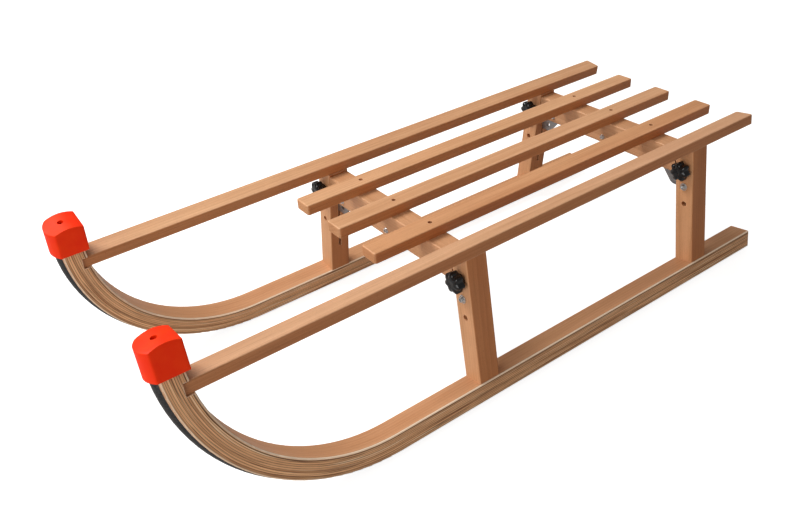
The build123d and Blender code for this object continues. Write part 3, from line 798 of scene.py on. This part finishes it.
def makeCap(name):
    s = capSizes
    low = Vector((s["middle"] - s["halfWidth"], s["front"], s["rim"]))
    high = Vector((s["middle"] + s["halfWidth"], s["rear"], s["shoulder"]))
    bpy.ops.object.select_all(action="DESELECT")
    bpy.ops.mesh.primitive_cube_add(size=1, location=(low + high) / 2)
    cap = bpy.context.object
    cap.name = name
    cap.scale = high - low
    bpy.ops.object.transform_apply(location=True, rotation=True, scale=True)
    beginEdit()
    bpy.ops.mesh.select_all(action="SELECT")
    bpy.ops.mesh.subdivide(number_cuts=s["cuts"])
    near = s["near"]
    rows = [low.y + (high.y - low.y) * k / (s["cuts"] + 1) for k in range(1, s["cuts"] + 1)]
    for row in rows:    # arched top
        pick(cap, "points", lambda p: abs(p.y - row) < near and abs(p.z - high.z) < near)
        share = (row - low.y) / (high.y - low.y) * 2 - 1
        bpy.ops.transform.translate(value=(0, 0, s["arch"] * (1 - share * share)))
    columns = [low.x + (high.x - low.x) * k / (s["cuts"] + 1) for k in range(1, s["cuts"] + 1)]
    for column in columns:    # bulged front, with the top following it
        pick(cap, "points", lambda p: abs(p.x - column) < near and abs(p.y - low.y) < near)
        share = (column - low.x) / (high.x - low.x) * 2 - 1
        bpy.ops.transform.translate(value=(0, -s["nose"] * (1 - share * share), 0))
    pick(cap, "edges", lambda c, d: abs(d.z) > upright and abs(abs(c.x - s["middle"]) - s["halfWidth"]) < near
         and (abs(c.y - low.y) < near or abs(c.y - high.y) < near))
    bpy.ops.mesh.bevel(offset=s["cornerRadius"], segments=s["roundSegments"], affect="EDGES")
    pick(cap, "faces", lambda c, n: n.z < -facingAway)
    bpy.ops.mesh.inset(thickness=s["wall"])
    bpy.ops.mesh.extrude_region_move(TRANSFORM_OT_translate={"value": (0, 0, s["hollow"])})
    endEdit()
    applyModifier(cap, "BEVEL", width=s["edgeRadius"], segments=s["roundSegments"],
                  limit_method="ANGLE", angle_limit=math.radians(s["edgeAngle"]))
    bpy.ops.object.select_all(action="DESELECT")
    crown = s["shoulder"] + s["arch"]
    middleY = (low.y + high.y - s["nose"]) / 2
    bpy.ops.mesh.primitive_cylinder_add(vertices=s["holeSides"], radius=s["hole"], depth=2 * s["holeDepth"],
                                        location=(s["middle"], middleY, crown))
    drill = bpy.context.object
    applyModifier(cap, "BOOLEAN", operation="DIFFERENCE", object=drill, solver="EXACT")
    bpy.data.objects.remove(drill)
    onlySelect(cap)
    bpy.ops.object.shade_smooth_by_angle(angle=math.radians(s["smoothAngle"]))
    cap.data.materials.clear()
    cap.data.materials.append(redPlastic)
    return cap


leftCap = makeCap("cap_left")
rightCap = copyOf(leftCap, "cap_right")
for cap, side in ((leftCap, "left"), (rightCap, "right")):
    settle(cap, frameMatrix(side), flipped=side == "right")
    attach(cap, "frame_" + side)
    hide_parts("tip_cap_" + side)
print("caps modelled")


knobSizes = {
    "lobes": 7,
    "radius": 0.016,
    "waist": (1.0, 0.975, 0.90, 0.825, 0.79),   # share of the radius, from a lobe's tip to the valley
    "hubRadius": 0.009,
    "hubHeight": 0.005,
    "sideTop": 0.0138,       # where the lobes' sides end and the dome starts
    "dome": ((0.93, 0.0013), (0.86, 0.0014), (0.72, 0.0010), (0.55, 0.0004)),   # each step's narrowing, rise
    "dishDepth": 0.0005,
    "dishNarrowing": 0.8,
    "undersideStep": 0.0006,
    "undersideNarrowing": 0.93,
    "edgeRadius": 0.0009,
    "edgeAngle": 50,         # degrees, the sharpest bend left unrounded
    "hubOverlap": 0.002,     # how far the hub reaches into the lobes
    "hubSides": 40,
    "hubEdge": 0.0005,
    "hubEdgeAngle": 40,
    "roundSegments": 2,
    "smoothAngle": 42,
    "pointsPerLobe": 8,
}


def makeKnob(name):
    # modelled upright, its face towards +Z and its hub on the ground
    s = knobSizes
    perLobe = s["pointsPerLobe"]
    half = perLobe // 2
    around = perLobe * s["lobes"]
    thick = s["sideTop"] - s["hubHeight"]
    bpy.ops.object.select_all(action="DESELECT")
    bpy.ops.mesh.primitive_cylinder_add(vertices=around, radius=s["radius"], depth=thick,
                                        location=(0, 0, s["hubHeight"] + thick / 2))
    knob = bpy.context.object
    knob.name = name

    def stepsFromTip(p):
        return abs((round(math.atan2(p.x, p.y) / math.tau * around) + half) % perLobe - half)

    bpy.ops.object.transform_apply(location=True, rotation=True, scale=True)
    for step, share in enumerate(s["waist"]):
        pick(knob, "points", lambda p: stepsFromTip(p) == step)
        bpy.ops.transform.resize(value=(share, share, 1), center_override=(0, 0, 0))
    pick(knob, "faces", lambda c, n: n.z < -facingAway)
    bpy.ops.mesh.extrude_region_move(TRANSFORM_OT_translate={"value": (0, 0, -s["undersideStep"])})
    bpy.ops.transform.resize(value=(s["undersideNarrowing"], s["undersideNarrowing"], 1),
                             center_override=(0, 0, 0))
    pick(knob, "faces", lambda c, n: n.z > facingAway)
    for narrowing, rise in s["dome"]:
        bpy.ops.mesh.extrude_region_move(TRANSFORM_OT_translate={"value": (0, 0, rise)})
        bpy.ops.transform.resize(value=(narrowing, narrowing, 1), center_override=(0, 0, 0))
    bpy.ops.mesh.extrude_region_move(TRANSFORM_OT_translate={"value": (0, 0, -s["dishDepth"])})
    bpy.ops.transform.resize(value=(s["dishNarrowing"], s["dishNarrowing"], 1), center_override=(0, 0, 0))
    endEdit()
    applyModifier(knob, "BEVEL", width=s["edgeRadius"], segments=s["roundSegments"],
                  limit_method="ANGLE", angle_limit=math.radians(s["edgeAngle"]))
    bpy.ops.object.select_all(action="DESELECT")
    tall = s["hubHeight"] + s["hubOverlap"]
    bpy.ops.mesh.primitive_cylinder_add(vertices=s["hubSides"], radius=s["hubRadius"], depth=tall,
                                        location=(0, 0, tall / 2))
    hub = bpy.context.object
    applyModifier(hub, "BEVEL", width=s["hubEdge"], segments=s["roundSegments"], limit_method="ANGLE",
                  angle_limit=math.radians(s["hubEdgeAngle"]))
    onlySelect(knob)
    hub.select_set(True)
    bpy.ops.object.join()
    bpy.ops.object.shade_smooth_by_angle(angle=math.radians(s["smoothAngle"]))
    knob.data.materials.clear()
    knob.data.materials.append(blackPlastic)
    return knob


knobModel = makeKnob("star_knob")
for joint in frame["joints"]:
    if "knob" not in joint["name"]:
        continue
    row, side = joint["name"].split("_")[0], joint["name"].split("_")[-1]
    node = f"{row}_star_knob_{side}"
    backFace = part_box(node)[1][1]
    knob = copyOf(knobModel, f"{row}_knob_{side}_grip")
    lean = math.radians(-runnerFinish["lean"] if side == "left" else runnerFinish["lean"])
    anchor = joint["pos_m"]
    turn = Matrix.Rotation(lean, 4, "Y") @ Matrix.Rotation(math.radians(90), 4, "X")
    settle(knob, Matrix.Translation((anchor[0], backFace, anchor[2])) @ turn)
    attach(knob, f"{row}_knob_{side}")
    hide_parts(node)
bpy.data.objects.remove(knobModel)
print("knobs modelled")
